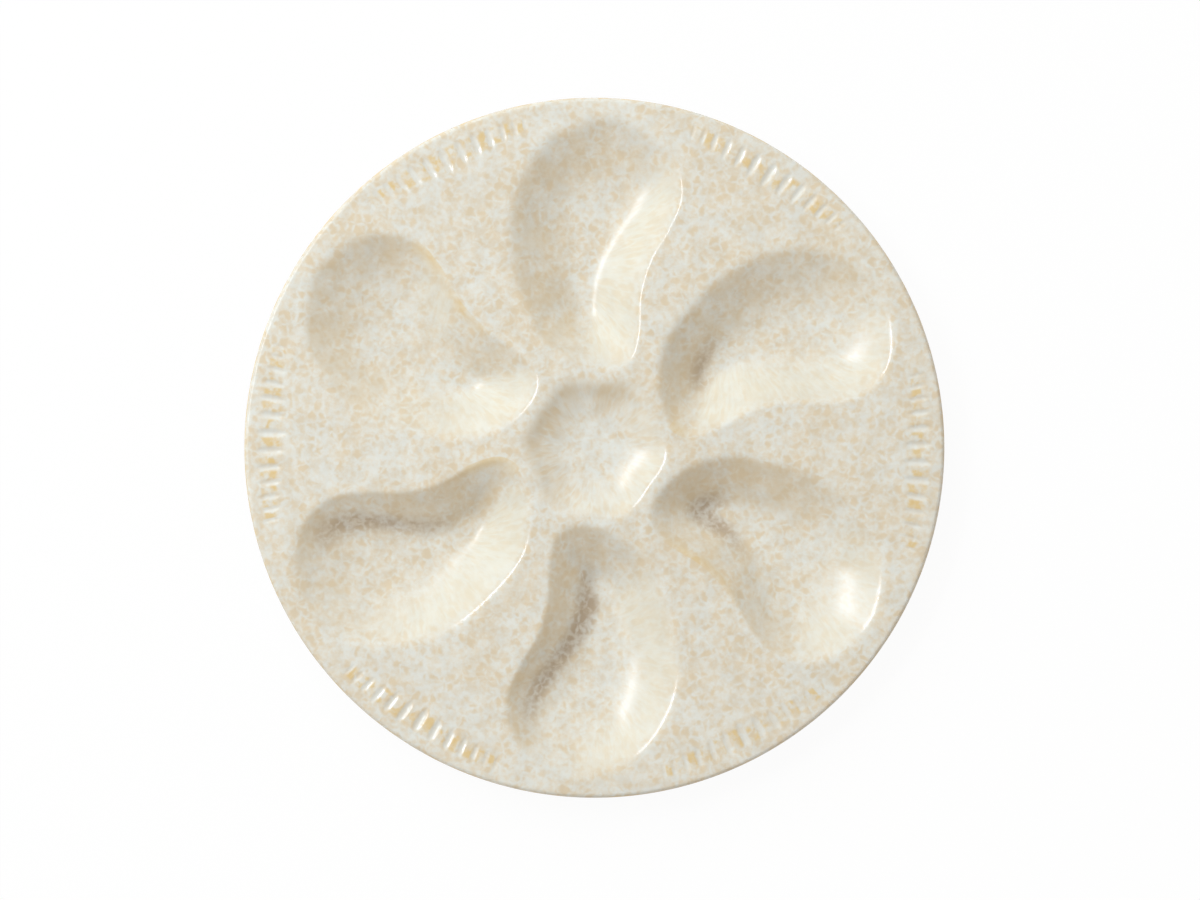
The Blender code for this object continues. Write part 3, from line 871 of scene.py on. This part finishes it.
def ground_tint(glaze, looks, spots):
    """Mottled ground of the face: painted light in cream on walls that face the lamps, painted shade in
    tan on steep walls that face away.
    """
    facing = glaze.carried("facing", "Fac")
    down = glaze.carried("down", "Fac")
    sauce = glaze.carried("sauce", "Fac")
    run = glaze.carried("run", "Vector")
    # Painted light: walls that face the lamps turn plain cream, with streaks in place of spots
    pale = glaze.times(glaze.band(facing, *PAINTED_LIGHT_FACING), glaze.band(down, *PAINTED_LIGHT_DOWN))
    pale = glaze.times(pale, glaze.band(glaze.noise(glaze.place, PAINTED_LIGHT_SCALE), *PAINTED_LIGHT_CLOUDS))
    steep = glaze.band(glaze.carried("steep", "Fac"), *WALL_SLOPE)
    # Painted shade: steep walls that face away from the lamps turn warm tan
    painted_shade = glaze.times(glaze.band(facing, *PAINTED_SHADE_FACING), steep)
    sauce_wall = glaze.times(glaze.band(sauce, *SAUCE_WALL_TOP), glaze.band(sauce, *SAUCE_WALL_FOOT))

    streaks = glaze.band(mottling(glaze, run), *STREAK_LEVEL)
    streaked = glaze.sum("MAXIMUM", pale, glaze.times(steep, WALL_STREAKS))
    streaked = glaze.sum("MAXIMUM", streaked, sauce_wall)
    level = glaze.add("ShaderNodeMix", {0: streaked, 2: spots, 3: streaks}).outputs[0]
    level = glaze.sum("ADD", level, glaze.times(painted_shade, PAINTED_SHADE_TAN))
    level = glaze.sum("SUBTRACT", level, glaze.band(sauce, *SAUCE_FLOOR_PALE))

    tint = glaze.mix(glaze.band(level, *TAN_LEVEL), solid(looks.vein), solid(looks.tan))
    shade = glaze.band(glaze.noise(glaze.place, SHADE_SCALE), *SHADE_LEVEL)
    tint = glaze.add("ShaderNodeHueSaturation", {"Color": tint, "Value": shade}).outputs[0]
    # Painted light in cream on the walls that face the lamps
    tint = glaze.mix(glaze.times(pale, PAINTED_LIGHT_CREAM), tint, solid(looks.cream))
    # Tan painted shade, laid on in patches
    patches = glaze.band(glaze.noise(run, PAINTED_SHADE_SCALE, detail=2), *PAINTED_SHADE_PATCHES)
    return glaze.mix(glaze.times(painted_shade, patches), tint, solid(looks.painted_shade_tint))


def face_glaze_finish(looks):
    """Mottled cream glaze: brown painted shade at the foot of walls, pale in flutes, amber and glossier
    where it runs thin.
    """
    glaze = Finish("mottled_face_glaze")
    spots = mottling(glaze, glaze.place)
    tint = ground_tint(glaze, looks, spots)

    down = glaze.carried("down", "Fac")
    lip = glaze.times(glaze.band(down, *LIP_START), glaze.band(down, *LIP_END))
    broken = glaze.times(lip, glaze.band(glaze.carried("broken", "Fac"), *LIP_BROKEN))
    clouds = glaze.band(glaze.noise(glaze.place, LIP_SCALE, detail=2), *LIP_CLOUDS)
    tint = glaze.mix(glaze.times(broken, clouds), tint, solid(looks.amber))
    # Brown painted shade near the foot of walls that face away from the lamps
    painted_shade_pool = glaze.band(glaze.carried("painted_shade_pool", "Fac"), *SHADE_POOL_DEPTH)
    painted_shade_pool = glaze.times(painted_shade_pool, glaze.band(spots, *SHADE_POOL_SPOTS))
    tint = glaze.mix(painted_shade_pool, tint, solid(looks.brown))

    groove = glaze.carried("groove", "Fac")
    tint = glaze.mix(glaze.band(groove, *FLUTE_PALE), tint, solid(looks.vein))
    ridge = glaze.band(glaze.carried("ridge", "Fac"), *RIDGE_THIN)
    edge = glaze.band(glaze.carried("edge", "Fac"), *EDGE_THIN)
    clouds = glaze.band(glaze.noise(glaze.place, THIN_SCALE), *THIN_CLOUDS)
    thin = glaze.times(glaze.sum("MAXIMUM", ridge, edge), clouds)
    tint = glaze.mix(thin, tint, solid(looks.amber))

    sharp = glaze.sum("MAXIMUM", lip, glaze.band(groove, *FLUTE_SHARP))
    gloss = glaze.band(sharp, 0.0, 1.0, looks.gloss, looks.thin_gloss)
    glaze.feed(glaze.shader.inputs["Base Color"], tint)
    glaze.feed(glaze.shader.inputs["Roughness"], gloss)
    return glaze.material


def back_glaze_finish(looks):
    """Plain cream glaze with a light mottling."""
    glaze = Finish("plain_back_glaze")
    stirring = glaze.noise(glaze.place, BACK_STIR_SCALE, detail=2, output="Color")
    stirred = glaze.moved(glaze.place, stirring, BACK_STIR_REACH)
    spots = glaze.band(glaze.cells(stirred, BACK_SPOT_SCALE).outputs["Distance"], *BACK_SPOTS)
    tint = glaze.mix(spots, solid(looks.cream), solid(looks.tan))
    glaze.feed(glaze.shader.inputs["Base Color"], tint)
    glaze.feed(glaze.shader.inputs["Roughness"], looks.gloss)
    return glaze.material


def clay_finish(name, tint):
    """Bare fired clay: dull, with a fine grain."""
    clay = Finish(name)
    grain = clay.noise(clay.place, CLAY_SCALE, detail=4)
    dark = solid([CLAY_DARK * part for part in tint])
    surface = clay.mix(clay.band(grain, *CLAY_GRAIN), dark, solid(tint))
    clay.feed(clay.shader.inputs["Base Color"], surface)
    clay.feed(clay.shader.inputs["Roughness"], CLAY_ROUGHNESS)
    clay.bump(grain, CLAY_RELIEF, CLAY_RELIEF_STRENGTH)
    return clay.material


class PLATTER_OT_face(bpy.types.Operator):
    """Press the face with its wells, flutes and rim, and coat it in mottled glaze"""

    bl_idname = "platter.face"
    bl_label = "Glazed Face"

    def execute(self, context):
        shape = context.scene.platter_shape
        face = face_plan(shape)
        press(shape, face)
        mark_glaze(shape, face)
        upright(face, True)
        close_underneath(shape, face, height_finder(shape, face))
        finish = face_glaze_finish(context.scene.platter_finish)
        finish_piece(face, "mottled_face", "face_glaze", finish)
        return {"FINISHED"}


class PLATTER_OT_back(bpy.types.Operator):
    """Coat the back inside and outside the foot ring"""

    bl_idname = "platter.back"
    bl_label = "Glazed Back"

    def execute(self, context):
        shape = context.scene.platter_shape
        height = height_finder(shape, bpy.data.objects["mottled_face"])
        finish = back_glaze_finish(context.scene.platter_finish)
        inner = shape.foot_radius - shape.foot_top / 2 - shape.gap
        outer = shape.foot_radius + shape.foot_top / 2 + shape.gap
        edge = [shape.rim_radius - shape.edge_round * (1 - lean) for lean in EDGE_LEANS]
        coats = (
            ("inner_back_coat", "back_glaze_inner", rings(0, inner, BACK_STEP)),
            ("outer_back_coat", "back_glaze_outer", rings(outer, edge[0], BACK_STEP) + edge[1:]),
        )
        for name, node, radii in coats:
            coat = spun(name, [(radius, 0) for radius in radii], RIM_SEGMENTS)
            plan = points_of(coat)[:, :2]
            move_points(coat, np.column_stack((plan, back_height(shape, height, plan))))
            upright(coat, False)
            bpy.ops.object.modifier_add(type="SOLIDIFY")
            coat.modifiers[0].thickness = shape.glaze
            coat.modifiers[0].offset = -1
            bpy.ops.object.modifier_apply(modifier=coat.modifiers[0].name)
            finish_piece(coat, name, node, finish)
        return {"FINISHED"}


class PLATTER_OT_foot(bpy.types.Operator):
    """Turn the foot ring and round its edges"""

    bl_idname = "platter.foot"
    bl_label = "Foot Ring"

    def execute(self, context):
        shape = context.scene.platter_shape
        height = height_finder(shape, bpy.data.objects["mottled_face"])
        middle = shape.foot_radius
        top = shape.foot_top / 2
        face = shape.foot_face / 2 + shape.foot_bevel
        radii = rings(middle - top, middle + top, BACK_STEP / 2)
        profile = [(radius, shape.deck_height) for radius in radii]
        profile += [(middle + face, 0), (middle - face, 0), (middle - top, shape.deck_height)]
        ring = spun("foot", profile, RIM_SEGMENTS)
        points = points_of(ring)
        is_top = points[:, 2] > shape.deck_height / 2
        points[is_top, 2] = back_height(shape, height, points[is_top, :2]) + shape.glaze
        move_points(ring, points)
        bpy.ops.object.mode_set(mode="EDIT")
        bpy.ops.mesh.select_all(action="SELECT")
        bpy.ops.mesh.normals_make_consistent(inside=False)
        bpy.ops.mesh.select_mode(type="EDGE")
        select_edges(
            ring,
            lambda bm, edge: all(vert.co.z < NEAR for vert in edge.verts)
            and abs(edge.verts[0].co.xy.length - edge.verts[1].co.xy.length) < NEAR,
        )
        bpy.ops.mesh.bevel(offset=shape.foot_bevel, segments=BEVEL_SEGMENTS, affect="EDGES")
        bpy.ops.object.mode_set(mode="OBJECT")
        finish = clay_finish("bare_foot_clay", context.scene.platter_finish.foot)
        finish_piece(ring, "bare_foot_ring", "foot_ring", finish)
        return {"FINISHED"}


class PLATTER_OT_clay(bpy.types.Operator):
    """Turn the clay body that lies between the coats of glaze"""

    bl_idname = "platter.clay"
    bl_label = "Clay Body"

    def execute(self, context):
        shape = context.scene.platter_shape
        height = height_finder(shape, bpy.data.objects["mottled_face"])
        radii = rings(0, shape.rim_radius - shape.edge_round, UNDER_STEP)
        # Heights 1 and 0 only tell the upper side from the lower one until both are moved
        profile = [(radius, 1) for radius in radii] + [(radius, 0) for radius in reversed(radii)]
        body = spun("clay", profile, RIM_SEGMENTS)
        x, y, z = points_of(body).T
        plan = np.column_stack((x, y))
        inset = shape.glaze + shape.gap
        top = height(plan) - inset - shape.flute_depth
        bottom = back_height(shape, height, plan) + inset
        move_points(body, np.column_stack((plan, np.where(z > NEAR, top, bottom))))
        bpy.ops.object.mode_set(mode="EDIT")
        bpy.ops.mesh.select_all(action="SELECT")
        bpy.ops.mesh.normals_make_consistent(inside=False)
        bpy.ops.object.mode_set(mode="OBJECT")
        finish = clay_finish("fired_clay", context.scene.platter_finish.clay)
        finish_piece(body, "fired_clay_body", "clay_body", finish)
        return {"FINISHED"}


class PLATTER_OT_stage(bpy.types.Operator):
    """Set the table, the light and the camera"""

    bl_idname = "platter.stage"
    bl_label = "Stage"

    def execute(self, context):
        scene = context.scene
        light = scene.platter_light
        shape = scene.platter_shape
        bpy.ops.object.select_all(action="DESELECT")
        bpy.ops.mesh.primitive_plane_add(size=TABLE_SIDE)
        table = context.object
        table.name = "table"
        table.data.materials.append(self.table_finish())

        key = self.add_lamp("key_lamp", light, KEY_DIRECTION, light.key_level)
        key.data.size = light.key_size
        key.data.size_y = light.key_size
        key.data.color = light.key_tint
        key.visible_glossy = False
        strip = self.add_lamp("strip_lamp", light, STRIP_DIRECTION, light.strip_level)
        strip.data.size = light.strip_length
        strip.data.size_y = light.strip_width
        strip.data.color = light.strip_tint

        world = bpy.data.worlds.new("studio")
        world.use_nodes = True
        ground = world.node_tree.nodes["Background"]
        ground.inputs["Color"].default_value = solid(light.room_tint)
        ground.inputs["Strength"].default_value = light.room_level
        scene.world = world

        bpy.ops.object.camera_add(location=(*CAMERA_SHIFT, light.camera_height), rotation=(0, 0, 0))
        camera = context.object
        rim = shape.deck_height - shape.edge_round
        camera.data.lens = camera.data.sensor_width * (light.camera_height - rim) / light.view_width
        camera.data.clip_start, camera.data.clip_end = CAMERA_CLIP
        scene.camera = camera
        scene.view_settings.view_transform = "Standard"
        return {"FINISHED"}

    @staticmethod
    def add_lamp(name, light, direction, level):
        """Lamp aimed at the platter from a direction, its level being its light on the table."""
        turn, tilt = (math.radians(angle) for angle in direction)
        flat = math.cos(tilt)
        toward = Vector((flat * math.cos(turn), flat * math.sin(turn), math.sin(tilt)))
        place = toward * light.lamp_distance
        bpy.ops.object.light_add(type="AREA", location=place)
        lamp = bpy.context.object
        lamp.name = name
        lamp.rotation_euler = (-place).to_track_quat("-Z", "Y").to_euler()
        lamp.data.shape = "RECTANGLE"
        lamp.data.energy = level * math.pi ** 2 * light.lamp_distance ** 2 / toward.z
        return lamp

    @staticmethod
    def table_finish():
        """White table that shows a soft shadow."""
        table = Finish("white_table")
        table.feed(table.shader.inputs["Base Color"], solid(TABLE_WHITE))
        table.feed(table.shader.inputs["Roughness"], 1)
        table.feed(table.shader.inputs["Specular IOR Level"], 0)
        glow = table.add("ShaderNodeEmission", {"Color": (1, 1, 1, 1), "Strength": 1.0})
        path = table.add("ShaderNodeLightPath", {})
        seen = table.sum("MAXIMUM", path.outputs["Is Camera Ray"], path.outputs["Is Glossy Ray"])
        seen = table.sum("MAXIMUM", seen, path.outputs["Is Transmission Ray"])
        shaders = {0: table.times(seen, TABLE_GLOW), 1: table.shader.outputs[0], 2: glow.outputs[0]}
        mixed = table.add("ShaderNodeMixShader", shaders)
        table.feed(table.tree.nodes["Material Output"].inputs["Surface"], mixed.outputs[0])
        return table.material


class PLATTER_PT_panel(bpy.types.Panel):
    """Steps that build the platter"""

    bl_idname = "PLATTER_PT_panel"
    bl_label = "Oyster Platter"
    bl_space_type = "VIEW_3D"
    bl_region_type = "UI"
    bl_category = "Platter"

    def draw(self, context):
        for step in STEPS:
            self.layout.operator(step.bl_idname)
        for group in ("platter_shape", "platter_finish", "platter_light"):
            settings = getattr(context.scene, group)
            for name in settings.__annotations__:
                self.layout.prop(settings, name)


STEPS = (PLATTER_OT_face, PLATTER_OT_back, PLATTER_OT_foot, PLATTER_OT_clay, PLATTER_OT_stage)
CLASSES = (PlatterShape, PlatterFinish, PlatterLight, *STEPS, PLATTER_PT_panel)


def register():
    for entry in CLASSES:
        bpy.utils.register_class(entry)
    bpy.types.Scene.platter_shape = PointerProperty(type=PlatterShape)
    bpy.types.Scene.platter_finish = PointerProperty(type=PlatterFinish)
    bpy.types.Scene.platter_light = PointerProperty(type=PlatterLight)


def unregister():
    del bpy.types.Scene.platter_light
    del bpy.types.Scene.platter_finish
    del bpy.types.Scene.platter_shape
    for entry in reversed(CLASSES):
        bpy.utils.unregister_class(entry)


def main():
    register()
    bpy.ops.platter.face()
    bpy.ops.platter.back()
    bpy.ops.platter.foot()
    bpy.ops.platter.clay()
    bpy.ops.platter.stage()


if __name__ == "__main__":
    main()
